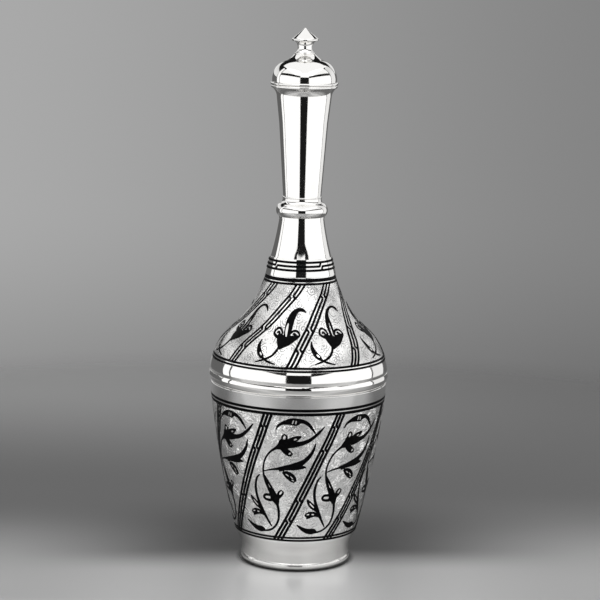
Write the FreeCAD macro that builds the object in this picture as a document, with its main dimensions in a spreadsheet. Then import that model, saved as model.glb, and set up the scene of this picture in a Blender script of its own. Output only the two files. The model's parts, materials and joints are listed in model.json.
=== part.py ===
# Lidded silver decanter: a tapered cup on a low foot, a bell shoulder, a ringed neck, and a domed lid
# that lifts off with its cork. Millimetres, +Z up, origin in the middle of the face that it stands on.
# Each piece is drawn from its own lower face at height 0, and its placement sets it on what carries it.
import FreeCAD, Part

import math
import os

import Sketcher

DIMENSIONS = [
    # Shared by several pieces
    ("sheet_wall", 0.9, "silver sheet of the cup, shoulder and necks"),
    ("solder_gap", 0.05, "room for solder round a nested piece"),
    # Foot
    ("foot_radius", 30.5, "foot band at the cup"),
    ("foot_height", 11.3, "foot band"),
    ("foot_bend_inset", 1.3, "foot band at the cup past where its swell turns into its hollow"),
    ("foot_bend_drop", 3.0, "that bend below the cup"),
    ("foot_swell", 0.07, "swell of the foot band over the bend"),
    ("foot_hollow", 0.19, "hollow of the foot band under the bend"),
    ("waist_inset", 2.6, "foot band at the cup past its waist"),
    ("waist_height", 4.2, "waist of the foot band above the bead"),
    ("foot_taper", 0.55, "waist past the foot band at the bead"),
    ("foot_flange", 4.0, "flange of the foot band under the cup"),
    ("foot_bead_height", 3.8, "foot bead"),
    ("foot_bead_swell", 0.87, "swell of the foot bead"),
    ("rest_setback", 0.8, "resting face inside the foot band"),
    ("rest_width", 1.1, "resting face of the foot bead"),
    # Cup
    ("dish_margin", 5.7, "flat rim round the hollow under the cup"),
    ("dish_rise", 2.2, "rise of that hollow in the middle"),
    ("turn_height", 1.2, "rounded turn from the foot to the flank"),
    ("turn_swell", 0.05, "swell of that turn"),
    ("turn_overhang", 0.5, "flank past the foot"),
    ("flank_height", 68.5, "flank of the cup"),
    ("flank_swell", 1.22, "swell of the flank"),
    ("plain_band_height", 7.6, "plain band over the flank"),
    ("plain_band_swell", 0.08, "swell of the plain band"),
    ("plain_band_step", 0.25, "lower edge of the plain band past the seam under the belt"),
    ("belt_shelf", 0.8, "upper edge of the plain band past that seam, which carries the belt"),
    # Belt
    ("belt_radius", 43.7, "seam of cup and shoulder, under the belt"),
    ("belt_bead_height", 5.6, "lower ring of the belt"),
    ("belt_bead_fillet", 0.8, "flat fillet under the bead"),
    ("belt_fillet_depth", 0.45, "how far the fillet stands off the seam"),
    ("belt_bead_depth", 1.2, "how far the bead's top edge stands off the seam"),
    ("belt_bead_swell", 0.8, "swell of the bead"),
    ("belt_roll_height", 6.7, "upper ring of the belt"),
    ("belt_roll_depth", 1.05, "how far the roll's lower edge stands off the seam"),
    ("belt_roll_lip", 0.15, "how far the roll's upper edge stands off the seam"),
    ("belt_roll_swell", 0.42, "swell of the roll"),
    # Shoulder
    ("bell_radius", 35.1, "shoulder where its swell turns into its hollow"),
    ("bell_bend_slope", 48.5, "degrees that the shoulder leans there"),
    ("bell_swell_height", 14.0, "swelling part of the shoulder"),
    ("bell_swell", 1.23, "depth of that swell"),
    ("bell_hollow_height", 28.9, "hollow part of the shoulder"),
    ("bell_hollow", 2.58, "depth of that hollow"),
    # Band over the seam of shoulder and neck
    ("socket_low_radius", 17.35, "shoulder at the lower edge of the band"),
    ("socket_high_radius", 15.3, "lower neck at the upper edge of the band"),
    ("socket_height", 8.6, "height of the band"),
    ("socket_wall", 0.4, "strip that the band is made of"),
    # Lower neck and knop
    ("lower_neck_rise", 19.2, "lower neck from the band to the knop"),
    ("lower_neck_top_radius", 11.3, "lower neck under the knop"),
    ("lower_neck_hollow", 0.32, "hollow of the lower neck"),
    ("knop_height", 7.6, "knop"),
    ("knop_foot_height", 0.8, "flat foot of the knop"),
    ("knop_ledge", 0.2, "foot of the knop past the lower neck"),
    ("knop_shelf", 1.05, "top of the knop past the upper neck"),
    ("knop_swell", 1.95, "swell of the knop"),
    ("fillet_height", 3.3, "stepped ring on the knop"),
    ("fillet_setback", 0.1, "stepped ring inside the top of the knop"),
    ("fillet_ledge", 0.2, "waist of the stepped ring past the upper neck"),
    ("fillet_cove_height", 2.4, "cove of the stepped ring"),
    ("fillet_cove_hollow", 0.28, "depth of that cove"),
    ("fillet_wire_swell", 0.2, "swell of the wire over the cove"),
    # Upper neck and mouth
    ("neck_foot_radius", 9.65, "upper neck at the stepped ring"),
    ("neck_rise", 36.4, "upper neck below the throat"),
    ("throat_radius", 12.3, "upper neck at the lower end of the cork"),
    ("throat_flare", 1.55, "how much wider the throat is at its upper end"),
    ("throat_rise", 13.6, "throat, which holds the cork"),
    ("mouth_flare", 2.45, "mouth past the throat"),
    ("mouth_cove_height", 4.0, "cove under the mouth"),
    ("mouth_cove_hollow", 0.55, "depth of that cove"),
    ("mouth_rim_height", 1.4, "ring on the mouth"),
    ("mouth_rim_swell", 0.41, "swell of that ring"),
    # Lid
    ("lid_overhang", 0.25, "lid rim past the mouth"),
    ("lid_rim_height", 1.5, "lid rim"),
    ("lid_rim_swell", 0.45, "swell of the lid rim"),
    ("lid_rim_ledge", 0.2, "lid rim inside the foot of the dome"),
    ("lid_plate_thickness", 1.0, "disc that closes the dome"),
    ("dome_wall", 0.8, "silver sheet of the dome"),
    ("dome_setback", 0.1, "foot of the dome inside the mouth"),
    ("dome_bend_inset", 6.7, "foot of the dome to where its swell turns into its hollow"),
    ("dome_bend_slope", 70.0, "degrees that the dome leans there"),
    ("dome_swell_height", 10.7, "swelling part of the dome"),
    ("dome_swell", 2.19, "depth of that swell"),
    ("dome_hollow_height", 2.9, "hollow part of the dome"),
    ("dome_hollow", 0.34, "depth of that hollow"),
    ("dome_top_radius", 5.3, "flat top of the dome"),
    # Finial
    ("collar_height", 0.9, "ring under the finial"),
    ("collar_setback", 0.4, "that ring inside the top of the dome"),
    ("collar_swell", 0.23, "swell of that ring"),
    ("stem_foot_radius", 4.45, "foot of the finial's stem"),
    ("stem_top_radius", 3.95, "stem under the hat"),
    ("stem_height", 3.9, "stem"),
    ("stem_hollow", 0.5, "waist of the stem"),
    ("hat_radius", 6.35, "brim of the hat, over and under its edge"),
    ("hat_under_height", 1.7, "hat under its brim"),
    ("hat_under_hollow", 0.49, "hollow under the brim"),
    ("brim_height", 1.3, "edge of the brim"),
    ("brim_swell", 0.25, "swell of that edge"),
    ("hat_slope_height", 1.9, "hat from the brim to its crease"),
    ("crease_radius", 4.1, "upper edge of that slope"),
    ("crease_step", 0.25, "step in at the crease"),
    ("point_height", 3.5, "point of the hat"),
    ("finial_bore_depth", 6.4, "threaded hole in the finial"),
    # Cork and the stud that holds it
    ("cork_clearance", 0.3, "cork to throat"),
    ("cork_chamfer", 0.8, "lower edge of the cork"),
    ("stud_radius", 1.5, "stud"),
    ("stud_clearance", 0.1, "holes round the stud"),
    ("stud_tail", 1.2, "stud below its nut"),
    ("stud_headroom", 0.4, "end of the stud to the bottom of its hole"),
    ("washer_radius", 6.0, "washer under the cork"),
    ("washer_thickness", 0.8, "washer under the cork"),
    ("nut_across_flats", 5.5, "nut under the washer"),
    ("nut_height", 2.4, "nut under the washer"),
]

document = FreeCAD.newDocument("decanter")
sheet = document.addObject("Spreadsheet::Sheet", "dims")
for row, (alias, size, meaning) in enumerate(DIMENSIONS, start=1):
    sheet.set(f"A{row}", meaning)
    sheet.set(f"B{row}", str(size))
    sheet.setAlias(f"B{row}", alias)
document.recompute()

pieces = []


# Outlines, each a list of corners that runs anticlockwise round one half of a section

def line_to(radius, height):
    return {"radius": radius, "height": height, "depth": None, "turn": 0}


def bulge_to(radius, height, depth):
    """An arc that swells out of the metal, by this depth in its middle."""
    return {"radius": radius, "height": height, "depth": depth, "turn": 1}


def hollow_to(radius, height, depth):
    """An arc that bites into the metal, by this depth in its middle."""
    return {"radius": radius, "height": height, "depth": depth, "turn": -1}


def arc_radius(before, corner):
    """The radius of the arc from one corner to the next, from its chord and its depth."""
    across = f"(({corner['radius']}) - ({before['radius']}))"
    upward = f"(({corner['height']}) - ({before['height']}))"
    depth = corner["depth"]
    return f"(({across} ^ 2 + {upward} ^ 2) / 4 + ({depth}) ^ 2) / (2 * ({depth}))"


def value(expression):
    return float(sheet.evalExpression(expression))


def arc_between(start, end, radius, turn):
    chord = end - start
    across = FreeCAD.Vector(-chord.y, chord.x, 0).normalize()
    reach = math.sqrt(radius**2 - (chord.Length / 2) ** 2)
    centre = (start + end) * 0.5 + across * (turn * reach)
    first, last = (start, end) if turn > 0 else (end, start)
    angles = [math.atan2(point.y - centre.y, point.x - centre.x) for point in (first, last)]
    return Part.ArcOfCircle(Part.Circle(centre, FreeCAD.Vector(0, 0, 1), radius), *angles)


def bind(sketch, constraint, name, expression):
    index = sketch.addConstraint(constraint)
    sketch.renameConstraint(index, name)
    sketch.setExpression(f"Constraints.{name}", expression)


def draw_outline(body, name, corners):
    """Draws the corners on the body's upright plane, with every size bound to the sheet."""
    sketch = body.newObject("Sketcher::SketchObject", name)
    upright = next(item for item in body.Origin.OriginFeatures if item.Role == "XZ_Plane")
    sketch.AttachmentSupport = (upright, [""])
    sketch.MapMode = "FlatFace"
    points = [FreeCAD.Vector(value(corner["radius"]), value(corner["height"]), 0) for corner in corners]
    ends = []
    for index, corner in enumerate(corners):
        start, end = points[index - 1], points[index]
        if corner["turn"]:
            radius = value(arc_radius(corners[index - 1], corner))
            sketch.addGeometry(arc_between(start, end, radius, corner["turn"]))
        else:
            sketch.addGeometry(Part.LineSegment(start, end))
        ends.append((2, 1) if corner["turn"] < 0 else (1, 2))
    for index, corner in enumerate(corners):
        following = (index + 1) % len(corners)
        tail = ends[index][1]
        sketch.addConstraint(
            Sketcher.Constraint("Coincident", index, tail, following, ends[following][0])
        )
        if corner["radius"] == "0":
            sketch.addConstraint(Sketcher.Constraint("PointOnObject", index, tail, -2))
        else:
            across = Sketcher.Constraint("DistanceX", -1, 1, index, tail, points[index].x)
            bind(sketch, across, f"radius_{index}", corner["radius"])
        if corner["height"] == "0":
            sketch.addConstraint(Sketcher.Constraint("PointOnObject", index, tail, -1))
        else:
            upward = Sketcher.Constraint("DistanceY", -1, 1, index, tail, points[index].y)
            bind(sketch, upward, f"height_{index}", corner["height"])
        if corner["turn"]:
            radius = arc_radius(corners[index - 1], corner)
            bind(sketch, Sketcher.Constraint("Radius", index, value(radius)), f"arc_{index}", radius)
    return sketch


# Operations

def turned(label, seat, corners):
    """A piece turned about the upright axis, with its lower face at the height of its seat."""
    body = document.addObject("PartDesign::Body", label)
    body.setExpression("Placement.Base.z", seat)
    sketch = draw_outline(body, f"{label}_outline", corners)
    solid = body.newObject("PartDesign::Revolution", f"{label}_turned")
    solid.Profile = sketch
    solid.ReferenceAxis = (sketch, ["V_Axis"])
    solid.Angle = 360
    body.Tip = solid
    document.recompute()
    pieces.append(body)
    return body


def ring(label, seat, bore, height, low_radius, high_radius, swell):
    """A ring with flat ends, a straight bore and a rounded outside."""
    return turned(label, seat, [
        line_to(bore, "0"),
        line_to(low_radius, "0"),
        bulge_to(high_radius, height, swell),
        line_to(bore, height),
    ])


# Heights at which the pieces are seated, from the foot up

foot_seat = "dims.foot_bead_height"
cup_seat = f"{foot_seat} + dims.foot_height"
plain_band = "dims.turn_height + dims.flank_height"
belt_bead_start = f"{plain_band} + dims.plain_band_height"
cup_height = f"{belt_bead_start} + dims.belt_bead_height"
belt_seat = f"{cup_seat} + {cup_height}"
bell_bend = "dims.belt_roll_height + dims.bell_swell_height"
socket_start = f"{bell_bend} + dims.bell_hollow_height"
shoulder_height = f"{socket_start} + dims.socket_height / 2"
neck_seam = f"{belt_seat} + {shoulder_height}"
lower_neck_height = "dims.socket_height / 2 + dims.lower_neck_rise"
knop_seat = f"{neck_seam} + {lower_neck_height}"
fillet_seat = f"{knop_seat} + dims.knop_height"
neck_seat = f"{fillet_seat} + dims.fillet_height"
throat_end = "dims.neck_rise + dims.throat_rise"
neck_height = f"{throat_end} + dims.mouth_cove_height"
cork_seat = f"{neck_seat} + dims.neck_rise"
cork_height = "dims.throat_rise + dims.mouth_cove_height + dims.mouth_rim_height"
mouth_seat = f"{neck_seat} + {neck_height}"
lid_seat = f"{mouth_seat} + dims.mouth_rim_height"
dome_seat = f"{lid_seat} + dims.lid_rim_height"
dome_height = "dims.dome_swell_height + dims.dome_hollow_height"
collar_seat = f"{dome_seat} + {dome_height}"
finial_seat = f"{collar_seat} + dims.collar_height"

# Radii that several pieces share

waist_radius = "dims.foot_radius - dims.waist_inset"
foot_low_radius = f"{waist_radius} - dims.foot_taper"
belt_bore = "dims.belt_radius + dims.solder_gap"
seam_radius = "(dims.socket_low_radius + dims.socket_high_radius) / 2"
neck_bore = "dims.neck_foot_radius - dims.sheet_wall"
knop_top_radius = "dims.neck_foot_radius + dims.knop_shelf"
throat_top_radius = "dims.throat_radius + dims.throat_flare"
mouth_radius = f"{throat_top_radius} + dims.mouth_flare"
dome_radius = f"{mouth_radius} - dims.dome_setback"
rim_bore = f"{dome_radius} - dims.dome_wall - dims.lid_rim_ledge"
stud_hole = "dims.stud_radius + dims.stud_clearance"
thread_hole = "dims.stud_radius + dims.solder_gap"


# Foot

def foot_bead():
    rest_radius = f"{foot_low_radius} - dims.rest_setback"
    ring("foot_bead", "0", f"{rest_radius} - dims.rest_width", "dims.foot_bead_height",
         rest_radius, foot_low_radius, "dims.foot_bead_swell")


def foot_band():
    bend_radius = "dims.foot_radius - dims.foot_bend_inset"
    under_flange = "dims.foot_height - dims.sheet_wall"
    flange_bore = "dims.foot_radius - dims.foot_flange"
    turned("foot_band", foot_seat, [
        line_to(f"{foot_low_radius} - dims.sheet_wall", "0"),
        line_to(foot_low_radius, "0"),
        line_to(waist_radius, "dims.waist_height"),
        hollow_to(bend_radius, "dims.foot_height - dims.foot_bend_drop", "dims.foot_hollow"),
        bulge_to("dims.foot_radius", "dims.foot_height", "dims.foot_swell"),
        line_to(flange_bore, "dims.foot_height"),
        line_to(flange_bore, under_flange),
        line_to(f"{bend_radius} - dims.sheet_wall", under_flange),
        line_to(f"{waist_radius} - dims.sheet_wall", "dims.waist_height"),
    ])


# Body

def body_cup():
    flank_low_radius = "dims.foot_radius + dims.turn_overhang"
    flank_high_radius = "dims.belt_radius + dims.plain_band_step"
    belt_inside = "dims.belt_radius - dims.sheet_wall"
    # The dish is part of a ball, level in the middle
    dish_radius = "(dims.foot_radius - dims.dish_margin)"
    dish_chord = f"({dish_radius} ^ 2 + dims.dish_rise ^ 2)"
    ball_radius = f"({dish_chord} / (2 * dims.dish_rise))"
    dish_depth = f"{ball_radius} - sqrt({ball_radius} ^ 2 - {dish_chord} / 4)"
    turned("body_cup", cup_seat, [
        line_to("0", "dims.dish_rise"),
        hollow_to(dish_radius, "0", dish_depth),
        line_to("dims.foot_radius", "0"),
        bulge_to(flank_low_radius, "dims.turn_height", "dims.turn_swell"),
        bulge_to(flank_high_radius, plain_band, "dims.flank_swell"),
        bulge_to("dims.belt_radius + dims.belt_shelf", belt_bead_start, "dims.plain_band_swell"),
        line_to("dims.belt_radius", belt_bead_start),
        line_to("dims.belt_radius", cup_height),
        line_to(belt_inside, cup_height),
        line_to(belt_inside, f"{belt_bead_start} - dims.sheet_wall"),
        line_to(f"{flank_high_radius} - dims.sheet_wall", plain_band),
        hollow_to(f"{flank_low_radius} - dims.sheet_wall", "dims.turn_height", "dims.flank_swell"),
        line_to("dims.foot_radius - dims.sheet_wall", "dims.sheet_wall"),
        line_to(dish_radius, "dims.sheet_wall"),
        bulge_to("0", "dims.dish_rise + dims.sheet_wall", dish_depth),
    ])


def belt_bead():
    turned("belt_bead", f"{cup_seat} + {belt_bead_start}", [
        line_to(belt_bore, "0"),
        line_to("dims.belt_radius + dims.belt_fillet_depth", "0"),
        line_to("dims.belt_radius + dims.belt_fillet_depth", "dims.belt_bead_fillet"),
        bulge_to("dims.belt_radius + dims.belt_bead_depth", "dims.belt_bead_height", "dims.belt_bead_swell"),
        line_to(belt_bore, "dims.belt_bead_height"),
    ])


def belt_roll():
    ring("belt_roll", belt_seat, belt_bore, "dims.belt_roll_height",
         "dims.belt_radius + dims.belt_roll_depth", "dims.belt_radius + dims.belt_roll_lip",
         "dims.belt_roll_swell")


def shoulder():
    bend_inset = "dims.sheet_wall * cos(dims.bell_bend_slope * 1 deg)"
    bend_drop = "dims.sheet_wall * sin(dims.bell_bend_slope * 1 deg)"
    turned("shoulder", belt_seat, [
        line_to("dims.belt_radius - dims.sheet_wall", "0"),
        line_to("dims.belt_radius", "0"),
        line_to("dims.belt_radius", "dims.belt_roll_height"),
        bulge_to("dims.bell_radius", bell_bend, "dims.bell_swell"),
        hollow_to("dims.socket_low_radius", socket_start, "dims.bell_hollow"),
        line_to(seam_radius, shoulder_height),
        line_to(f"{seam_radius} - dims.sheet_wall", shoulder_height),
        line_to("dims.socket_low_radius - dims.sheet_wall", socket_start),
        bulge_to(f"dims.bell_radius - {bend_inset}", f"{bell_bend} - {bend_drop}",
                 "dims.bell_hollow"),
        hollow_to("dims.belt_radius - dims.sheet_wall", "dims.belt_roll_height",
                  "dims.bell_swell"),
    ])


# Neck

def socket_band():
    low_bore = "dims.socket_low_radius + dims.solder_gap"
    high_bore = "dims.socket_high_radius + dims.solder_gap"
    turned("socket_band", f"{belt_seat} + {socket_start}", [
        line_to(low_bore, "0"),
        line_to(f"{low_bore} + dims.socket_wall", "0"),
        line_to(f"{high_bore} + dims.socket_wall", "dims.socket_height"),
        line_to(high_bore, "dims.socket_height"),
    ])


def lower_neck():
    turned("lower_neck", neck_seam, [
        line_to(f"{seam_radius} - dims.sheet_wall", "0"),
        line_to(seam_radius, "0"),
        line_to("dims.socket_high_radius", "dims.socket_height / 2"),
        hollow_to("dims.lower_neck_top_radius", lower_neck_height, "dims.lower_neck_hollow"),
        line_to("dims.lower_neck_top_radius - dims.sheet_wall", lower_neck_height),
        bulge_to("dims.socket_high_radius - dims.sheet_wall", "dims.socket_height / 2",
                 "dims.lower_neck_hollow"),
    ])


def neck_knop():
    knop_foot_radius = "dims.lower_neck_top_radius + dims.knop_ledge"
    turned("neck_knop", knop_seat, [
        line_to(neck_bore, "0"),
        line_to(knop_foot_radius, "0"),
        line_to(knop_foot_radius, "dims.knop_foot_height"),
        bulge_to(knop_top_radius, "dims.knop_height", "dims.knop_swell"),
        line_to(neck_bore, "dims.knop_height"),
    ])


def knop_fillet():
    waist_radius = "dims.neck_foot_radius + dims.fillet_ledge"
    turned("knop_fillet", fillet_seat, [
        line_to(neck_bore, "0"),
        line_to(f"{knop_top_radius} - dims.fillet_setback", "0"),
        hollow_to(waist_radius, "dims.fillet_cove_height", "dims.fillet_cove_hollow"),
        bulge_to(waist_radius, "dims.fillet_height", "dims.fillet_wire_swell"),
        line_to(neck_bore, "dims.fillet_height"),
    ])


def upper_neck():
    turned("upper_neck", neck_seat, [
        line_to(neck_bore, "0"),
        line_to("dims.neck_foot_radius", "0"),
        line_to("dims.throat_radius", "dims.neck_rise"),
        line_to(throat_top_radius, throat_end),
        hollow_to(mouth_radius, neck_height, "dims.mouth_cove_hollow"),
        line_to(f"{mouth_radius} - dims.sheet_wall", neck_height),
        bulge_to(f"{throat_top_radius} - dims.sheet_wall", throat_end,
                 "dims.mouth_cove_hollow"),
        line_to("dims.throat_radius - dims.sheet_wall", "dims.neck_rise"),
    ])


def mouth_rim():
    ring("mouth_rim", mouth_seat, f"{mouth_radius} - dims.sheet_wall", "dims.mouth_rim_height",
         mouth_radius, mouth_radius, "dims.mouth_rim_swell")


# Lid

def lid_rim():
    edge = f"{mouth_radius} + dims.lid_overhang"
    ring("lid_rim", lid_seat, rim_bore, "dims.lid_rim_height", edge, edge, "dims.lid_rim_swell")


def lid_plate():
    edge = f"{rim_bore} - dims.solder_gap"
    turned("lid_plate", lid_seat, [
        line_to(stud_hole, "0"),
        line_to(edge, "0"),
        line_to(edge, "dims.lid_plate_thickness"),
        line_to(stud_hole, "dims.lid_plate_thickness"),
    ])


def lid_dome():
    bend_radius = f"{dome_radius} - dims.dome_bend_inset"
    bend_inset = "dims.dome_wall * cos(dims.dome_bend_slope * 1 deg)"
    bend_drop = "dims.dome_wall * sin(dims.dome_bend_slope * 1 deg)"
    under_top = f"{dome_height} - dims.dome_wall"
    turned("lid_dome", dome_seat, [
        hollow_to(f"{dome_radius} - dims.dome_wall", "0", "dims.dome_swell"),
        line_to(dome_radius, "0"),
        bulge_to(bend_radius, "dims.dome_swell_height", "dims.dome_swell"),
        hollow_to("dims.dome_top_radius", dome_height, "dims.dome_hollow"),
        line_to(stud_hole, dome_height),
        line_to(stud_hole, under_top),
        line_to("dims.dome_top_radius - dims.dome_wall / 2", under_top),
        bulge_to(f"{bend_radius} - {bend_inset}", f"dims.dome_swell_height - {bend_drop}",
                 "dims.dome_hollow"),
    ])


def finial_collar():
    edge = "dims.dome_top_radius - dims.collar_setback"
    ring("finial_collar", collar_seat, stud_hole, "dims.collar_height",
         edge, edge, "dims.collar_swell")


def finial():
    brim_foot = "dims.stem_height + dims.hat_under_height"
    brim_top = f"{brim_foot} + dims.brim_height"
    crease = f"{brim_top} + dims.hat_slope_height"
    turned("finial", finial_seat, [
        line_to("0", "dims.finial_bore_depth"),
        line_to(thread_hole, "dims.finial_bore_depth"),
        line_to(thread_hole, "0"),
        line_to("dims.stem_foot_radius", "0"),
        hollow_to("dims.stem_top_radius", "dims.stem_height", "dims.stem_hollow"),
        hollow_to("dims.hat_radius", brim_foot, "dims.hat_under_hollow"),
        bulge_to("dims.hat_radius", brim_top, "dims.brim_swell"),
        line_to("dims.crease_radius", crease),
        line_to("dims.crease_radius - dims.crease_step", crease),
        line_to("0", f"{crease} + dims.point_height"),
    ])


# Cork and the stud that holds it to the lid

def stopper_cork():
    low_radius = "dims.throat_radius - dims.sheet_wall - dims.cork_clearance"
    high_radius = f"{throat_top_radius} - dims.sheet_wall - dims.cork_clearance"
    chamfer_share = "dims.cork_chamfer / dims.throat_rise"
    chamfer_radius = f"{low_radius} + dims.throat_flare * {chamfer_share}"
    turned("stopper_cork", cork_seat, [
        line_to(stud_hole, "0"),
        line_to(f"{low_radius} - dims.cork_chamfer", "0"),
        line_to(chamfer_radius, "dims.cork_chamfer"),
        line_to(high_radius, "dims.throat_rise"),
        line_to(high_radius, cork_height),
        line_to(stud_hole, cork_height),
    ])


def stud_washer():
    turned("stud_washer", f"{cork_seat} - dims.washer_thickness", [
        line_to(stud_hole, "0"),
        line_to("dims.washer_radius", "0"),
        line_to("dims.washer_radius", "dims.washer_thickness"),
        line_to(stud_hole, "dims.washer_thickness"),
    ])


def stud_nut():
    blank = document.addObject("Part::Prism", "nut_blank")
    blank.Polygon = 6
    blank.setExpression("Circumradius", "dims.nut_across_flats / (2 * cos(30 deg))")
    blank.setExpression("Height", "dims.nut_height")
    hole = document.addObject("Part::Cylinder", "nut_hole")
    hole.setExpression("Radius", thread_hole)
    hole.setExpression("Height", "dims.nut_height")
    nut = document.addObject("Part::Cut", "stud_nut")
    nut.Base = blank
    nut.Tool = hole
    nut.setExpression("Placement.Base.z", f"{cork_seat} - dims.washer_thickness - dims.nut_height")
    document.recompute()
    pieces.append(nut)


def tie_stud():
    below_cork = "dims.washer_thickness + dims.nut_height + dims.stud_tail"
    in_finial = "dims.finial_bore_depth - dims.stud_headroom"
    length = f"{finial_seat} + {in_finial} - ({cork_seat} - ({below_cork}))"
    turned("tie_stud", f"{cork_seat} - ({below_cork})", [
        line_to("0", "0"),
        line_to("dims.stud_radius", "0"),
        line_to("dims.stud_radius", length),
        line_to("0", length),
    ])


foot_bead()
foot_band()
body_cup()
belt_bead()
belt_roll()
shoulder()
socket_band()
lower_neck()
neck_knop()
knop_fillet()
upper_neck()
mouth_rim()
lid_rim()
lid_plate()
lid_dome()
finial_collar()
finial()
stopper_cork()
stud_washer()
stud_nut()
tie_stud()

# Every object is sound before anything is written

document.recompute()
failed = [item.Label for item in document.Objects if {"Invalid", "Error"} & set(item.State)]
unsound = [
    piece.Label for piece in pieces
    if piece.Shape.isNull() or not piece.Shape.isValid() or len(piece.Shape.Solids) != 1
]
if failed or unsound:
    raise RuntimeError(f"failed: {failed}, unsound: {unsound}")

os.makedirs("parts", exist_ok=True)
for piece in pieces:
    piece.Shape.exportStep(f"parts/{piece.Label}.step")
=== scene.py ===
"""A tall lidded silver decanter with black niello ornament: its looks, light and camera.

Sizes are millimetres, and metres for the stage. Degrees run round the axis from the front, which
faces -Y, towards +X. Heights are above the table.
"""

import json
import math

import bpy
import numpy as np
from mathutils import Matrix


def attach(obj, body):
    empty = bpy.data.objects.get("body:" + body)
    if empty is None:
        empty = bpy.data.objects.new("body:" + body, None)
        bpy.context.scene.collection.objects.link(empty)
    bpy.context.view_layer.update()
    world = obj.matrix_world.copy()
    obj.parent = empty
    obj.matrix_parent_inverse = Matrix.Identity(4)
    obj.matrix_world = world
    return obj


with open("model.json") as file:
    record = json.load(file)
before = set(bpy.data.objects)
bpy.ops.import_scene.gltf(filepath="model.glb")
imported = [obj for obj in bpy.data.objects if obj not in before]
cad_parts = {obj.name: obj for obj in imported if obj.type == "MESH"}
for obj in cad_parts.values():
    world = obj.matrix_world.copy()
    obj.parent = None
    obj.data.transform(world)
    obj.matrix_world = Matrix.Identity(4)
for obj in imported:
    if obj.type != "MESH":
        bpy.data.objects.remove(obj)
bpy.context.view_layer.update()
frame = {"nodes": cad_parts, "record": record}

MM = 0.001

# How far the niello and the veins stand proud of the wall, and how deep both are let in
PROUD = 0.05
VEIN_PROUD = 0.1
SUNK = 0.2

# Strokes: the longest step along one and across it, the thinnest tip, and what is added to the drawn width
STEP = 0.7
CROSS_STEP = 0.9
THINNEST = 0.08
SPREAD = 0.22

# About how far one degree reaches on the wall, and the angle from which an edge of the inlay is sharp
DEGREE_REACH = 0.65
SHARP_EDGE = 40

# Fret bars: spacing of the points on the outer and the middle lines, how far a kink reaches below and above
# its height, and the run of the middle line past the ends
BAR_STEP = 0.8
KINK_STEP = 0.6
KINK_BELOW = 0.6
KINK_ABOVE = 0.9
RUN_OUT = 3

# Colours of the metal
POLISHED = (0.93, 0.922, 0.905, 1)
BRUSHED = (0.8, 0.793, 0.778, 1)
BRIGHT_CUT = (0.97, 0.966, 0.956, 1)
CUP_SHADED = (0.86, 0.857, 0.85, 1)
SHOULDER_SHADED = (0.91, 0.906, 0.896, 1)
TARNISHED = (0.8, 0.78, 0.74, 1)
# Painted shade: the darker colour of the walls that face the axis, inside the mouth
INSIDE_PAINTED_SHADE = (0.42, 0.41, 0.39, 1)
ENGRAVED = (0.2, 0.2, 0.205, 1)

# Roughness of the plain silver beside the engraving, what the unpolished inside adds to roughness, and the
# height over which the engraving fades in
PLAIN_ROUGHNESS = 0.16
INSIDE_ROUGHNESS = 0.35
ZONE_EDGE = 0.3


# Shader nodes
class Value:
    """An output of a node. Arithmetic on it adds Math nodes."""

    def __init__(self, finish, socket):
        self.finish = finish
        self.socket = socket

    def math(self, operation, *others):
        return self.finish.node("ShaderNodeMath", {"operation": operation}, dict(enumerate((self, *others))))

    def output(self, name):
        return Value(self.finish, self.socket.node.outputs[name])

    def __add__(self, other):
        return self.math("ADD", other)

    __radd__ = __add__

    def __sub__(self, other):
        return self.math("SUBTRACT", other)

    def __rsub__(self, other):
        return self * -1 + other

    def __mul__(self, other):
        return self.math("MULTIPLY", other)

    __rmul__ = __mul__

    def __truediv__(self, other):
        return self.math("DIVIDE", other)

    def towards(self, other, share):
        """This value at a share of 0, the other at a share of 1."""
        return self + (other - self) * share

    def ramp(self, low, high, start=0, end=1):
        """Eased steps from start to end while the value goes from low to high."""
        settings = {"interpolation_type": "SMOOTHSTEP"}
        inputs = {"Value": self, "From Min": low, "From Max": high, "To Min": start, "To Max": end}
        return self.finish.node("ShaderNodeMapRange", settings, inputs)


class Finish:
    """The node tree of one material, or of the world."""

    def __init__(self, tree):
        self.tree = tree
        tree.nodes.clear()

    def node(self, kind, settings=None, inputs=None, output=0):
        made = self.tree.nodes.new(kind)
        for name, setting in (settings or {}).items():
            setattr(made, name, setting)
        for name, value in (inputs or {}).items():
            if isinstance(value, Value):
                self.tree.links.new(value.socket, made.inputs[name])
            else:
                made.inputs[name].default_value = value
        return Value(self, made.outputs[output]) if made.outputs else made

    def place(self):
        return self.node("ShaderNodeTexCoord", output="Object")

    def axes(self, vector):
        split = self.node("ShaderNodeSeparateXYZ", inputs={"Vector": vector})
        return split, split.output("Y"), split.output("Z")

    def vector(self, operation, *inputs, output=0):
        return self.node("ShaderNodeVectorMath", {"operation": operation}, dict(enumerate(inputs)), output)

    def noise(self, vector, scale, detail=2.0, roughness=0.5):
        return self.node("ShaderNodeTexNoise", inputs={
            "Vector": vector, "Scale": scale, "Detail": detail, "Roughness": roughness})

    def mix(self, share, first, second):
        return self.node("ShaderNodeMix", {"data_type": "RGBA"}, {0: share, 6: first, 7: second}, output=2)

    def grey(self, level):
        return self.node("ShaderNodeCombineColor", inputs={0: level, 1: level, 2: level})

    def bump(self, height, strength, distance, normal=None):
        inputs = {"Height": height, "Strength": strength, "Distance": distance * MM}
        if normal:
            inputs["Normal"] = normal
        return self.node("ShaderNodeBump", inputs=inputs)

    def surface(self, shader, kind="ShaderNodeOutputMaterial"):
        self.node(kind, inputs={"Surface": shader})


def material(name):
    made = bpy.data.materials.new(name)
    made.use_nodes = True
    return made, Finish(made.node_tree)


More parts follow.
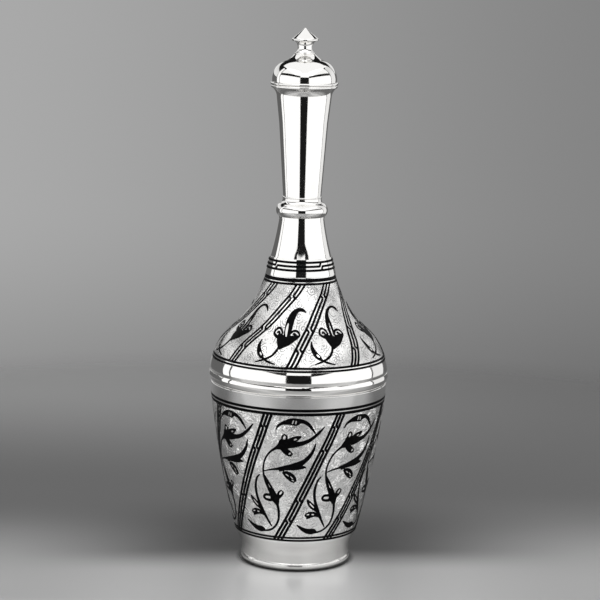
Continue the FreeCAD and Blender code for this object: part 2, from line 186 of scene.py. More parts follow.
# Finishes
def lathe_lines(finish, place):
    """Hair-fine rings left by turning and buffing."""
    x, y, z = finish.axes(place)
    rings = finish.node("ShaderNodeCombineXYZ", inputs={0: x * 60, 1: y * 60, 2: z * 4200})
    return finish.noise(rings, 1.0, detail=3.0, roughness=0.7)


def painted_shade_and_unpolished(finish, place):
    """1 on walls that face the axis, which the buffing wheel doesn't reach and painted shade darkens, and 0
    elsewhere.
    """
    outward = finish.vector("NORMALIZE", finish.vector("MULTIPLY", place, (1, 1, 0)))
    normal = finish.node("ShaderNodeTexCoord", output="Normal")
    return finish.vector("DOT_PRODUCT", normal, outward, output="Value").ramp(-0.6, -0.25, 1.0, 0.0)


def turned_silver(name, bright, smooth, rough, grain, brushed=0.0):
    """Silver turned and buffed. The two roughnesses are those of its clear and its smeared spots.

    Brushed round the axis, it smears what it mirrors up and down.
    """
    made, finish = material(name)
    place = finish.place()
    lines = lathe_lines(finish, place)
    smear = finish.noise(place, 140.0, detail=4.0, roughness=0.6)
    tarnish = finish.noise(place, 45.0, detail=5.0).ramp(0.55, 0.8, 0.0, 0.35)
    # Walls that face the axis: painted shade in the colour, and more roughness where unbuffed
    inside = painted_shade_and_unpolished(finish, place)
    polished = finish.mix(tarnish, bright, TARNISHED)
    finish.surface(finish.node("ShaderNodeBsdfPrincipled", inputs={
        "Base Color": finish.mix(inside, polished, INSIDE_PAINTED_SHADE),
        "Metallic": 1.0,
        "Roughness": smear.ramp(0.35, 0.75, smooth, rough) + inside * INSIDE_ROUGHNESS,
        "Anisotropic": brushed,
        "Anisotropic Rotation": 0.25,
        "Normal": finish.bump(lines, grain, 0.02),
    }))
    return made


def scrolls(finish, place, size):
    """Engraved spiral curls, one in each cell of a loose net: 1 on the line and 0 beside it."""
    cell = finish.node("ShaderNodeTexVoronoi", inputs={"Vector": place, "Scale": 1 / (size * MM)})
    centre = cell.output("Position")
    away = finish.vector("SUBTRACT", place, centre)
    around = finish.vector("NORMALIZE", finish.vector("CROSS_PRODUCT", (0, 0, 1), place))
    across = finish.vector("DOT_PRODUCT", away, around, output="Value")
    rise = finish.axes(away)[2]
    reach = (across * across + rise * rise).math("SQRT")
    turn = rise.math("ARCTAN2", across) / (2 * math.pi)
    wobble = finish.noise(place, 500.0, detail=2.0)
    winding = (turn + reach * (4.5 / (size * MM)) + wobble * 0.6).math("FRACT")
    line = (winding - 0.5).math("ABSOLUTE")
    return line.ramp(0.08, 0.24, 1.0, 0.0)


def engraved_silver(name, curl, low, high, roughness, ink, grain, lift, bright, shaded):
    """Silver engraved with curls between two heights, and plain satin silver above and below them.

    ink is how dark the curls are, grain how deep the ground is scratched, and lift how far its facets lean
    up. The ground drifts from bright to shaded.
    """
    made, finish = material(name)
    place = finish.place()
    height = finish.axes(place)[2]
    above = height.ramp((low - ZONE_EDGE) * MM, low * MM)
    zone = above * height.ramp(high * MM, (high + ZONE_EDGE) * MM, 1.0, 0.0)
    curls = scrolls(finish, place, curl)
    pits = finish.noise(place, 2200.0, detail=2.0)
    stretched = finish.vector("MULTIPLY", place, (520.0, 520.0, 850.0))
    scratches = finish.noise(stretched, 1.0, detail=3.0, roughness=0.6)
    worked = finish.noise(place, 130.0, detail=2.0).ramp(0.42, 0.6, 0.15, 1.0)
    drift = finish.noise(place, 75.0, detail=3.0)
    facets = finish.noise(place, 420.0, detail=5.0, roughness=0.75).ramp(0.46, 0.66) * zone * worked
    normal = finish.node("ShaderNodeNewGeometry", output="Normal")
    upward = finish.node("ShaderNodeCombineXYZ", inputs={2: facets * lift})
    tilted = finish.vector("NORMALIZE", finish.vector("ADD", normal, upward))
    presence = finish.noise(place, 190.0, detail=1.0).ramp(0.42, 0.6)
    cut = curls * presence * zone
    dots = finish.noise(place, 1300.0, detail=1.0).ramp(0.62, 0.68) * zone
    ground = finish.mix(1 - drift.ramp(0.42, 0.62, 1.0, 0.0) * zone, bright, shaded)
    marks = (cut * ink).math("MAXIMUM", dots * 0.5)
    uneven = drift.ramp(0.3, 0.7, roughness - PLAIN_ROUGHNESS, roughness - PLAIN_ROUGHNESS + 0.1)
    relief = (pits * 0.7 + scratches * worked * grain) * zone - cut
    finish.surface(finish.node("ShaderNodeBsdfPrincipled", inputs={
        "Base Color": finish.mix(marks, ground, ENGRAVED),
        "Metallic": 1.0,
        "Roughness": PLAIN_ROUGHNESS + zone * uneven,
        "Normal": finish.bump(relief, 0.7, 0.15, tilted),
    }))
    return made


def niello():
    made, finish = material("niello")
    place = finish.place()
    cloud = finish.noise(place, 700.0, detail=4.0, roughness=0.6)
    pits = finish.noise(place, 3500.0, detail=1.0)
    black, worn = (0.002, 0.002, 0.0023, 1), (0.006, 0.006, 0.0065, 1)
    finish.surface(finish.node("ShaderNodeBsdfPrincipled", inputs={
        "Base Color": finish.mix(cloud.ramp(0.4, 0.75), black, worn),
        "Roughness": cloud.ramp(0.3, 0.7, 0.3, 0.45),
        "Specular IOR Level": 0.03,
        "Normal": finish.bump(pits, 0.12, 0.05),
    }))
    return made


def brass():
    made, finish = material("brass")
    place = finish.place()
    lines = lathe_lines(finish, place)
    dull = finish.noise(place, 420.0, detail=4.0, roughness=0.65)
    bright, brown = (0.8, 0.58, 0.26, 1), (0.5, 0.33, 0.14, 1)
    finish.surface(finish.node("ShaderNodeBsdfPrincipled", inputs={
        "Base Color": finish.mix(dull.ramp(0.4, 0.72), bright, brown),
        "Metallic": 1.0,
        "Roughness": dull.ramp(0.3, 0.75, 0.2, 0.42),
        "Normal": finish.bump(lines, 0.15, 0.05),
    }))
    return made


def cork():
    made, finish = material("cork")
    place = finish.place()
    grain = finish.noise(place, 900.0, detail=5.0, roughness=0.65)
    cells = finish.node("ShaderNodeTexVoronoi", inputs={"Vector": place, "Scale": 950.0})
    stretched = finish.vector("MULTIPLY", place, (900.0, 900.0, 260.0))
    pores = finish.noise(stretched, 1.0, detail=3.0, roughness=0.55).ramp(0.6, 0.66)
    pale, brown, dark = (0.62, 0.43, 0.25, 1), (0.42, 0.27, 0.14, 1), (0.13, 0.07, 0.035, 1)
    flesh = finish.mix(grain.ramp(0.3, 0.75), pale, brown)
    finish.surface(finish.node("ShaderNodeBsdfPrincipled", inputs={
        "Base Color": finish.mix(pores, flesh, dark),
        "Roughness": 0.85,
        "Normal": finish.bump(cells * 0.4 + grain * 0.3 - pores, 0.6, 0.25),
    }))
    return made


SILVER = turned_silver("polished_silver", POLISHED, smooth=0.035, rough=0.09, grain=0.015)
SATIN = turned_silver("satin_silver", BRUSHED, smooth=0.18, rough=0.22, grain=0.02, brushed=0.9)
NIELLO = niello()
FINISHES = {
    "polished_silver": SILVER,
    "brass": brass(),
    "cork": cork(),
}
CUP_SILVER = engraved_silver(
    "cup_silver", curl=7.0, low=19.0, high=83.2, roughness=0.16, ink=0.3, grain=5.0, lift=0.5,
    bright=BRIGHT_CUT, shaded=CUP_SHADED)
SHOULDER_SILVER = engraved_silver(
    "shoulder_silver", curl=5.5, low=107.3, high=144, roughness=0.2, ink=0.65, grain=0.4, lift=0.0,
    bright=BRIGHT_CUT, shaded=SHOULDER_SHADED)
OWN_FINISH = {
    "body_cup": CUP_SILVER,
    "shoulder": SHOULDER_SILVER,
    "socket_band": SILVER,
    "foot_band": SATIN,
    "foot_bead": SATIN,
}

for subpart in frame["record"]["subparts"]:
    node = frame["nodes"][subpart["node"]]
    node.data.materials.clear()
    node.data.materials.append(OWN_FINISH.get(node.name) or FINISHES[subpart["material_slot"]])


# Inlay
class Wall:
    """The turned outside of a CAD piece: its radius at each height."""

    def __init__(self, node):
        radii = {}
        for vertex in frame["nodes"][node].data.vertices:
            x, y, z = vertex.co / MM
            if vertex.normal.x * x + vertex.normal.y * y > 0.2 * math.hypot(x, y):
                level = round(z, 2)
                radii[level] = max(radii.get(level, 0), math.hypot(x, y))
        self.heights = sorted(radii)
        self.radii = [radii[level] for level in self.heights]

    def radius(self, height):
        return np.interp(height, self.heights, self.radii)

    def points(self, degrees, heights, lift):
        radius = self.radius(heights) + lift
        turn = np.radians(degrees)
        return np.stack([radius * np.sin(turn), -radius * np.cos(turn), heights], -1) * MM


def flowing(path, closed):
    """Close points on a smooth line through the points of a path, each (degrees, height, width)."""
    knots = np.array(path, float)
    if closed:
        knots = np.vstack([knots[-2:], knots, knots[:3]])
    gaps = np.maximum(np.hypot(np.diff(knots[:, 0]) * DEGREE_REACH, np.diff(knots[:, 1])), 0.01)
    slopes = np.diff(knots, axis=0) / gaps[:, None]
    leans = np.empty_like(knots)
    leans[0], leans[-1] = slopes[0], slopes[-1]
    near, far = gaps[:-1, None], gaps[1:, None]
    leans[1:-1] = (slopes[:-1] * far + slopes[1:] * near) / (near + far)
    spans = range(2, len(knots) - 3) if closed else range(len(knots) - 1)
    points = []
    for i in spans:
        for t in np.arange(0, 1, 1 / math.ceil(gaps[i] / STEP)):
            share = 3 * t * t - 2 * t ** 3
            bend = leans[i] * (t ** 3 - 2 * t * t + t) + leans[i + 1] * (t ** 3 - t * t)
            points.append(knots[i] * (1 - share) + knots[i + 1] * share + bend * gaps[i])
    if not closed:
        points.append(knots[-1])
    points = np.array(points)
    points[:, 2] = np.maximum(points[:, 2], THINNEST) + SPREAD
    return points


class Inlay:
    """Strips let into the walls, each a closed solid, gathered into one piece."""

    def __init__(self):
        self.vertices = []
        self.faces = []

    def strip(self, wall, points, closed=False, lift=PROUD):
        degrees, heights, widths = np.array(points, float).T
        radius = wall.radius(heights)
        if closed:
            turn = (np.roll(degrees, -1) - np.roll(degrees, 1) + 180) % 360 - 180
            rise = np.roll(heights, -1) - np.roll(heights, 1)
        else:
            turn, rise = np.gradient(degrees), np.gradient(heights)
        ahead = np.stack([np.radians(turn) * radius, rise])
        ahead /= np.maximum(np.hypot(*ahead), 1e-9)
        columns = 3 + round(widths.max() / CROSS_STEP)
        across = np.linspace(0.5, -0.5, columns)[None, :] * widths[:, None]
        spread = degrees[:, None] - np.degrees(ahead[1][:, None] * across / radius[:, None])
        levels = heights[:, None] + ahead[0][:, None] * across
        top = wall.points(spread, levels, lift)
        root = wall.points(spread[:, [-1, 0]], levels[:, [-1, 0]], -SUNK)
        rows = np.concatenate([top, root], axis=1)
        count, size = rows.shape[:2]
        first = len(self.vertices)
        self.vertices += rows.reshape(-1, 3).tolist()
        for i in range(count if closed else count - 1):
            here, there = first + i * size, first + (i + 1) % count * size
            for k in range(size):
                after = (k + 1) % size
                self.faces.append((here + k, here + after, there + after, there + k))
        if not closed:
            last = first + (count - 1) * size
            self.faces.append(tuple(range(first + size - 1, first - 1, -1)))
            self.faces.append(tuple(range(last, last + size)))

    def stroke(self, wall, path, turned=0.0, closed=False, lift=PROUD):
        points = flowing(path, closed)
        points[:, 0] += turned
        self.strip(wall, points, closed, lift)

    def ring(self, wall, height, width):
        self.strip(wall, [(degrees, height, width) for degrees in range(0, 360, 2)], closed=True)

    def make(self, name, finish, slot):
        mesh = bpy.data.meshes.new(name)
        mesh.from_pydata(self.vertices, [], self.faces)
        mesh.shade_smooth()
        mesh.set_sharp_from_angle(angle=math.radians(SHARP_EDGE))
        mesh.materials.append(finish)
        piece = bpy.data.objects.new(name, mesh)
        bpy.context.collection.objects.link(piece)
        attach(piece, "bottle")


BODY = Wall("body_cup")
SHOULDER = Wall("shoulder")
SOCKET = Wall("socket_band")


def fret_bar(inlay, wall, turned, lean, kinks, low, high, width, half):
    """A slanting bar of three lines from a low to a high end. width is that of a line at either end.

    The outer lines run half to the left and right of the lean. At each kink the middle line goes over to
    the left one, and starts again from the right one.
    """
    slant = flowing([(degrees, height, 1.0) for degrees, height in lean], False)

    def line(heights, offsets):
        degrees = np.interp(heights, slant[:, 1], slant[:, 0]) + turned
        degrees += np.degrees(offsets / wall.radius(heights))
        widths = np.interp(heights, [low, high], width)
        inlay.strip(wall, np.stack([degrees, heights, widths], -1))

    heights = np.linspace(low, high, round((high - low) / BAR_STEP))
    line(heights, -half)
    line(heights, half)
    ends = [low - RUN_OUT] + kinks + [high + RUN_OUT]
    for below, above in zip(ends, ends[1:]):
        bends = [below - KINK_BELOW, below + KINK_ABOVE, above - KINK_BELOW, above + KINK_ABOVE]
        heights = np.linspace(max(low, bends[0]), min(high, bends[3]), round((above - below) / KINK_STEP))
        line(heights, np.interp(heights, bends, [half, 0, 0, -half]))


# Ornament of the tapered cup: (degrees, height, width) in the front panel
CUP_TURNS = [0, 46.5, 90.8, 135, 179.2, 223.4, 267.6, 311.5]
CUP_LEAN = [(-15.8, 17.5), (-13.4, 20), (-4.2, 30), (3.1, 40), (9.8, 50), (15.9, 60), (22, 70),
            (27.2, 80), (29.7, 85)]
CUP_KINKS = [27.5, 38.5, 65, 77]
CUP_RINGS = [(86, 1.4), (84, 1.5), (18.4, 1.1), (16.9, 1.1)]
CUP_VINE = [
    # leaf under the top ring
    [(-14.2, 76, 0.3), (-12.4, 78.2, 1), (-10, 79.35, 1.4), (-7, 80, 2.4), (-3, 80.4, 3.5),
     (-0.5, 80.3, 3.6), (1.5, 80.75, 2.4), (4, 80.5, 1.8), (7, 79.2, 1.6), (9.6, 77, 1.2),
     (11.2, 75.3, 0.7), (12, 74.2, 0.3)],
    # upper flower
    [(-16.5, 65.4, 0.7), (-14.5, 66.3, 1.4), (-12.5, 67, 2.8), (-10, 68, 5), (-7.5, 68.6, 5),
     (-5, 69, 3.6)],
    [(-10.6, 68.5, 2.2), (-10.6, 70, 2.3), (-9.8, 71, 1.4)],
    [(-6.5, 69.7, 2.4), (-3.5, 70.9, 2.6), (-0.5, 71.7, 2.4), (1.4, 72.4, 1.5), (2.8, 72.9, 0.5)],
    [(-8, 68.2, 3), (-4, 68.4, 3.2), (0, 68.8, 2.5), (4, 69.4, 2), (8, 70.7, 1.7), (12, 72.9, 1.4),
     (15.5, 75.4, 1), (18.2, 77.8, 0.3)],
    [(-10.3, 67, 2.6), (-8.3, 65.4, 2.9), (-6, 64.1, 3), (-4.2, 63.4, 2.2), (-3.2, 63, 1.2)],
    # vine
    [(-14.5, 66.3, 1.3), (-16.5, 65.4, 1), (-20, 63.1, 0.8), (-22.6, 60.2, 0.7), (-24.2, 57, 0.7),
     (-24.8, 53.6, 0.8), (-24.4, 51, 0.9)],
    # second leaf and its side lobe
    [(-24, 53.7, 0.4), (-20, 54.6, 0.6), (-15, 55.3, 1), (-11, 55.8, 1.8), (-6, 56.4, 2.7),
     (-1, 57.3, 3.3), (3, 58.8, 2.6), (6, 60.3, 2), (9, 62.7, 1.7), (11.3, 65.6, 1.2),
     (12.7, 69.2, 0.3)],
    [(-4, 56.3, 2.4), (0, 56.7, 2.7), (3.5, 56.8, 1.9), (6.8, 56.7, 0.3)],
    [(-9, 55.3, 1.4), (-11, 54.9, 1), (-12.7, 54.3, 0.3)],
    # bud
    [(-10.2, 53.9, 0.8), (-7.6, 53.1, 3), (-4.8, 51.8, 3.8), (-2.3, 50.1, 3.3), (-0.9, 48.9, 1.6)],
    # long pod
    [(-24.6, 52, 0.9), (-23.4, 48.5, 1.2), (-21.5, 45, 1.3), (-19.3, 41.6, 1.4)],
    [(-24.3, 51.6, 0.6), (-22, 49, 0.8), (-19.3, 45.8, 0.9), (-16.8, 42.6, 1.1), (-15.8, 41.2, 1.2)],
    [(-20.6, 45.2, 0.3), (-18.8, 42.8, 1.5), (-17.6, 41, 2.4)],
    # lower flower
    [(-17.8, 41.4, 2.6), (-16.5, 39.6, 4.4), (-15.5, 37.8, 3), (-14.9, 36.2, 1.4)],
    [(-14.8, 39.8, 2), (-12.8, 41.6, 2.7), (-11.2, 43.2, 2.6), (-10.4, 44, 1.5)],
    # stem and bottom leaf
    [(-15, 37, 1.4), (-14.2, 34, 1.1), (-14, 31, 1), (-14.6, 28, 0.9), (-16.2, 25.7, 0.9),
     (-18.7, 23.7, 0.8), (-22, 22.3, 0.8), (-26, 21.5, 0.8), (-29.5, 21.3, 1)],
    [(-27.6, 21.4, 0.8), (-30.4, 21.9, 2.7), (-34, 22, 2.8), (-37.6, 22.5, 2.3), (-41, 23.6, 1.6),
     (-43.5, 24.7, 1), (-45.6, 25.6, 0.3)],
    # sprig
    [(-28, 51.5, 0.4), (-30.2, 49.8, 0.8), (-31.7, 47, 1), (-32.4, 44, 1.2), (-32.2, 41, 1.2),
     (-31.2, 38, 1.3), (-29.6, 34.8, 1.6), (-27, 31, 1.5), (-24.5, 28, 1), (-22.5, 25.8, 0.8),
     (-20.8, 24, 0.3)],
    [(-37.9, 39.5, 0.5), (-36.4, 38, 1.7), (-34.6, 36.5, 2.3), (-32.6, 35.2, 2.3), (-30.3, 33.8, 1.6),
     (-28.4, 32.2, 0.8)],
    [(-25.5, 29.4, 0.5), (-28.4, 30.7, 1.6), (-31.4, 31.3, 2.5), (-34.4, 31.2, 3.2), (-37, 31, 2.8),
     (-38.9, 31.4, 1.2)],
    [(-34.5, 30.4, 1.8), (-36.5, 29.6, 1.2), (-37.6, 28.9, 0.3)],
]
CUP_LOOPS = [
    [(-10, 71, 0.8), (-9.9, 72.5, 0.7), (-8.6, 73.6, 0.7), (-7.3, 73, 0.7), (-7.1, 71.4, 0.8),
     (-8.4, 70.5, 0.8)],
    [(-19.5, 40.9, 1.3), (-22.5, 41.2, 1.2), (-24.7, 40.9, 1.1), (-25.6, 39.9, 1.1), (-24.7, 38.9, 1.1),
     (-22.5, 38.5, 1.2), (-19.5, 38.6, 1.4)],
]
CUP_VEINS = [
    [(-3.4, 79.3, 0.2), (-2.9, 80.4, 0.5), (-2.6, 81.2, 0.2)],
    [(-1.2, 79.2, 0.2), (-1, 80.2, 0.5), (-0.8, 81, 0.2)],
    [(-2.2, 71, 0.2), (-1.3, 71.3, 0.6), (-0.3, 71.6, 0.2)],
    [(-7.8, 53, 0.1), (-6.7, 52.5, 0.35), (-5.6, 51.9, 0.1)],
    [(-4.4, 51.9, 0.1), (-3.5, 51.2, 0.3), (-2.6, 50.5, 0.1)],
    [(-3.4, 50, 0.1), (-2.6, 49.7, 0.3), (-1.9, 49.4, 0.1)],
    [(-5.6, 63.4, 0.2), (-4.9, 63.9, 0.7), (-4.2, 64.2, 0.2)],
    [(-12.7, 41.8, 0.2), (-11.7, 42.8, 0.8), (-10.9, 43.6, 0.2)],
    [(-35.6, 37.4, 0.2), (-33.8, 36.1, 0.4), (-32, 34.9, 0.2)],
    [(-37.4, 31.2, 0.1), (-36.5, 31.3, 0.45), (-35.5, 31.5, 0.1)],
    [(-33.4, 31.4, 0.1), (-32.4, 31.3, 0.45), (-31.4, 31.2, 0.1)],
]

# Ornament of the shoulder: (degrees, height, width) in the front panel
SHOULDER_TURNS = range(0, 360, 45)
SHOULDER_LEAN = [(-6.8, 105.6), (-5.2, 107.2), (0.5, 115), (5.4, 120), (12, 125), (18.8, 130), (27.4, 135),
                 (38, 140), (46, 144.3), (48.4, 145.6)]
SHOULDER_KINKS = [114.5, 123.2, 138]
SHOULDER_RINGS = [(106.8, 1.1), (105.3, 1), (144.4, 1.1), (146.2, 1.7)]
FLOWER = [
    # cup of the flower
    [(-14.8, 115.4, 0.6), (-15.2, 117, 1.8), (-16.2, 119.2, 2.4), (-17.8, 120.8, 1.8),
     (-19, 121.2, 0.8)],
    [(-14.8, 115.3, 0.6), (-12.2, 117.2, 2.6), (-8.4, 118.9, 3.4), (-4.5, 120, 2.4), (-0.9, 120.8, 1.2)],
    [(-14.4, 116.4, 1.4), (-13.4, 118.2, 4.2), (-12.4, 120, 4.6), (-12, 120.9, 4)],
    # curls in the petals
    [(-16.8, 121.3, 0.3), (-18.2, 122.3, 0.9), (-19.6, 122.4, 0.9), (-20, 121.8, 0.3)],
    [(-6, 121.6, 0.3), (-4.6, 121.9, 0.9), (-3.2, 121.3, 0.9), (-2, 120.8, 0.4)],
    # stem
    [(-15, 116.4, 1), (-16.6, 114.2, 1), (-18.8, 112.3, 0.9), (-21.6, 111, 0.9), (-24.4, 110.1, 0.8),
     (-27.5, 109.3, 0.6), (-30.3, 108.6, 0.3)],
    [(-25.6, 110.8, 0.8), (-23, 109.8, 0.8), (-19.8, 109, 0.7), (-15.8, 108.3, 0.3)],
    # pod
    [(-31.2, 118.7, 0.3), (-31.4, 116.8, 1.3), (-30.3, 114.6, 2), (-28.3, 112.6, 2.3), (-26, 111.2, 1.7),
     (-24.8, 110.4, 0.6)],
]
FLOWER_LOOPS = [
    [(-16.6, 120.8, 0.9), (-15.2, 122, 0.8), (-17, 123.6, 0.8), (-19.6, 124.2, 0.8), (-22, 123.3, 0.8),
     (-22.7, 121.9, 0.9), (-20.6, 120.8, 1), (-18.4, 120.3, 1)],
    [(-8.8, 121.2, 0.9), (-7, 122.6, 0.8), (-3.8, 123.2, 0.8), (-1, 122.7, 0.8), (0.2, 121.3, 0.8),
     (-1.4, 120.5, 1), (-4.4, 120.2, 1)],
]
BROAD_LEAF = [
    [(-11.2, 119.8, 2.8), (-10.7, 122.5, 3.4), (-10.2, 125.5, 3.7), (-9, 128.4, 3.5), (-6.6, 130.6, 2.9),
     (-3, 132.1, 2), (1, 132.6, 1.5), (4.6, 132.2, 1.2), (7.6, 131.3, 0.4)],
]
SLENDER_LEAF = [
    [(-12.1, 120.2, 1.2), (-12.1, 124, 1.3), (-11.1, 127.5, 1.6), (-8.9, 130.2, 1.6), (-5.7, 132.2, 1.2),
     (-1.7, 133.2, 0.9), (2.8, 133.3, 0.9), (6.3, 132.5, 1), (8.9, 130.9, 0.4)],
    [(-9.2, 120.8, 1), (-8.3, 124, 1), (-8.3, 127, 1), (-8.3, 130, 0.7)],
]
FLOWER_VEINS = [
    [(-28.4, 113.2, 0.2), (-27.6, 112.6, 0.5), (-26.6, 112, 0.2)],
]
BROAD_VEINS = [
    [(-11.2, 120.6, 0.3), (-11.7, 122.6, 0.9), (-11.7, 124.8, 0.8), (-11.3, 126.3, 0.2)],
]
SLENDER_TURN = -4

# Ornament of the socket: heights of its three lines, and where the middle one starts again
FRET_LOW = 150.95
FRET_MIDDLE = 152.85
FRET_HIGH = 154.85
FRET_WIDTH = 1.15
FRET_STARTS = [-47, 38, 128, 218, 313]
FRET_SLOPE = 3


def cup_ornament():
    bars, vines, veins = Inlay(), Inlay(), Inlay()
    for turned in CUP_TURNS:
        fret_bar(bars, BODY, turned, CUP_LEAN, CUP_KINKS, low=17.3, high=84.3, width=(1.3, 1.4), half=1.92)
        for path in CUP_VINE:
            vines.stroke(BODY, path, turned)
        for path in CUP_LOOPS:
            vines.stroke(BODY, path, turned, closed=True)
        for path in CUP_VEINS:
            veins.stroke(BODY, path, turned, lift=VEIN_PROUD)
    for height, width in CUP_RINGS:
        bars.ring(BODY, height, width)
    bars.make("niello_cup_bars", NIELLO, "niello")
    vines.make("niello_cup_vines", NIELLO, "niello")
    veins.make("silver_cup_veins", SILVER, "polished_silver")


def shoulder_ornament():
    bars, flowers, veins = Inlay(), Inlay(), Inlay()
    for number, turned in enumerate(SHOULDER_TURNS):
        fret_bar(bars, SHOULDER, turned, SHOULDER_LEAN, SHOULDER_KINKS,
                 low=106.4, high=144.8, width=(1.25, 1.05), half=2.1)
        slender = number % 2
        placed = turned + SLENDER_TURN * slender
        for path in FLOWER + (SLENDER_LEAF if slender else BROAD_LEAF):
            flowers.stroke(SHOULDER, path, placed)
        for path in FLOWER_LOOPS:
            flowers.stroke(SHOULDER, path, placed, closed=True)
        for path in FLOWER_VEINS + ([] if slender else BROAD_VEINS):
            veins.stroke(SHOULDER, path, placed, lift=VEIN_PROUD)
    for height, width in SHOULDER_RINGS:
        bars.ring(SHOULDER, height, width)
    bars.make("niello_shoulder_bars", NIELLO, "niello")
    flowers.make("niello_shoulder_flowers", NIELLO, "niello")
    veins.make("silver_shoulder_veins", SILVER, "polished_silver")


def socket_ornament():
    """Three lines round the socket. Four times round, the middle one steps up and starts again lower."""
    fret = Inlay()
    for height in (FRET_HIGH, FRET_LOW):
        fret.ring(SOCKET, height, FRET_WIDTH)
    for start, end in zip(FRET_STARTS, FRET_STARTS[1:]):
        degrees = np.arange(start, end + 0.1, 0.5)
        bends = [start, start + FRET_SLOPE, end - FRET_SLOPE, end]
        heights = np.interp(degrees, bends, [FRET_LOW, FRET_MIDDLE, FRET_MIDDLE, FRET_HIGH])
        fret.strip(SOCKET, np.stack([degrees, heights, np.full(len(degrees), FRET_WIDTH)], -1))
    fret.make("niello_socket_fret", NIELLO, "niello")


cup_ornament()
shoulder_ornament()
socket_ornament()


# Stage: places and sizes in metres, angles in degrees, the lens in millimetres
TABLE_RADIUS = 0.6
LAMP_DISTANCE = 2.2
DARK = (0.01, 0.01, 0.01, 1)
DIM = (0.12, 0.12, 0.12, 1)
LENS = 130.2
CAMERA_TILT = 80.4
CAMERA_ROLL = 1.15
CAMERA_PLACE = (0, -1.078, 0.3158)


def table():
    """A round table top that fades out at its edge. Its tone, painted light and shade, is set by place, in
    metres from the axis.
    """
    made, finish = material("table")
    place = finish.place()
    x, y, _ = finish.axes(place)
    reach = (x * x + y * y).math("SQRT")
    side = x.math("ABSOLUTE")
    # In front: a painted pool of light by the foot, then painted shade straight ahead, darker than to the
    # sides, and plain far out
    ahead = (side / y).math("ABSOLUTE").ramp(0.2, 0.9, 0.3, 0.66)
    painted_light_pool = side.ramp(0.015, 0.05, 0.72, 0.53) * side.ramp(0.05, 0.14, 1.0, 0.82)
    lit = ahead.towards(painted_light_pool, y.ramp(-0.115, -0.075))
    front = lit.towards(0.42, y.ramp(-0.4, -0.2, 1.0, 0.0))
    # Behind: dark, a painted shadow of the object, and lighter again far out, most of all on the left
    middle = y.ramp(0.05, 0.12, 0.11, 0.152)
    back = middle.towards(x.ramp(-0.2, 0.25, 0.3, 0.17), y.ramp(0.14, 0.4))
    behind = y - x * 0.076
    depth = behind.ramp(-0.028, 0.014).towards(behind.ramp(-0.05, 0.13), side.ramp(0.04, 0.16))
    # A painted shadow line where the foot meets the table
    painted_contact_shadow = reach.ramp(0.0272, 0.0312)
    level = front.towards(back, depth) * painted_contact_shadow
    mottle = finish.noise(place, 900.0, detail=3.0)
    cloth = finish.node("ShaderNodeBsdfPrincipled", inputs={
        "Base Color": finish.grey(level),
        "Roughness": 0.8,
        "Specular IOR Level": 0.2,
        "Coat Weight": y.ramp(-0.01, 0.02, 1.0, 0.0) * side.ramp(0.03, 0.09, 1.0, 0.0),
        "Coat Roughness": 0.22,
        "Coat IOR": 2.0,
        "Normal": finish.bump(mottle, 0.03, 0.05),
    })
    clear = finish.node("ShaderNodeBsdfTransparent")
    edge = reach.ramp(0.46, 0.57, 1.0, 0.0)
    finish.surface(finish.node("ShaderNodeMixShader", inputs={0: edge, 1: clear, 2: cloth}))
    bpy.ops.mesh.primitive_circle_add(vertices=128, radius=TABLE_RADIUS, fill_type="NGON")
    top = bpy.context.object
    top.name = "table"
    top.data.materials.append(made)


def lamp(name, wide, tall, glow, location, rotation):
    """An evenly glowing rectangle that the camera doesn't see."""
    light = bpy.data.lights.new(name, "AREA")
    light.shape = "RECTANGLE"
    light.size = wide
    light.size_y = tall
    light.energy = glow * math.pi * wide * tall
    held = bpy.data.objects.new(name, light)
    held.location = location
    held.rotation_euler = rotation
    held.visible_camera = False
    bpy.context.collection.objects.link(held)


def softbox(name, start, end, low, high, glow):
    """An upright lamp that fills the directions from start to end degrees, low to high."""
    middle, half = math.radians((start + end) / 2), math.radians((end - start) / 2)
    wide = 2 * LAMP_DISTANCE * math.tan(half)
    out, aside = LAMP_DISTANCE * math.cos(middle), LAMP_DISTANCE * math.sin(middle)
    lamp(name, wide, high - low, glow, (aside, -out, (low + high) / 2), (math.pi / 2, 0, middle))


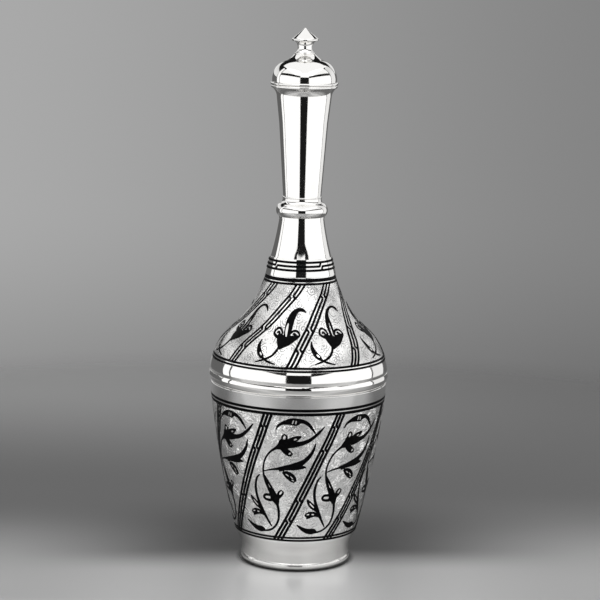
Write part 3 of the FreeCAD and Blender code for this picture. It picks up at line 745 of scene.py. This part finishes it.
def overhead(wide, front, back, glow):
    """A lamp laid flat overhead, from front to back along Y."""
    lamp("overhead", wide, back - front, glow, (0, (front + back) / 2, LAMP_DISTANCE), (0, 0, 0))


def room():
    """Grey paper for the camera and straight behind. Elsewhere the silver mirrors a dark room."""
    world = bpy.data.worlds.new("room")
    world.use_nodes = True
    bpy.context.scene.world = world
    finish = Finish(world.node_tree)
    x, y, z = finish.axes(finish.node("ShaderNodeTexCoord", output="Generated"))
    # Painted shade on the paper: darker low down towards the horizon, and to the right
    level = z.ramp(-0.26, -0.12, 0.19, 0.366) * x.ramp(-0.2, 0.2, 1.12, 0.6)
    paper = finish.grey(level)
    dim = finish.mix(y.ramp(-0.3, 0.3) * z.ramp(0.2, 0.5, 1.0, 0.0), DARK, DIM)
    seen = finish.node("ShaderNodeLightPath", output="Is Camera Ray")
    share = seen.math("MAXIMUM", y.ramp(0.9, 0.98))
    colour = finish.mix(share, dim, paper)
    finish.surface(finish.node("ShaderNodeBackground", inputs={"Color": colour}), "ShaderNodeOutputWorld")


def camera():
    lens = bpy.data.cameras.new("camera")
    lens.lens = LENS
    held = bpy.data.objects.new("camera", lens)
    tilt = Matrix.Rotation(math.radians(CAMERA_TILT), 3, "X")
    roll = Matrix.Rotation(math.radians(CAMERA_ROLL), 3, "Z")
    held.rotation_euler = (tilt @ roll).to_euler()
    held.location = CAMERA_PLACE
    bpy.context.collection.objects.link(held)
    bpy.context.scene.camera = held


table()
softbox("left_softbox", -97, -15.5, -1.4, 1.1, 1.1)
softbox("left_high_softbox", -97, -15.5, 1.6, 3.4, 1.0)
softbox("left_strip", -113, -100, -1.4, 2.2, 1.0)
softbox("right_softbox", 16.5, 108, -1.4, 1.1, 1.1)
softbox("right_high_softbox", 16.5, 108, 1.6, 3.4, 1.0)
softbox("right_card", 111, 141, -1.4, 2.2, 0.75)
overhead(3.6, -2.9, 1.6, 1.0)
softbox("front_card", -15.5, 16.5, 1.0, 2.2, 1.1)
softbox("left_back_card", -165, -115, 0.5, 1.3, 0.7)
softbox("right_back_card", 145, 170, 0.5, 1.3, 0.7)
room()
camera()
bpy.context.scene.view_settings.view_transform = "Standard"
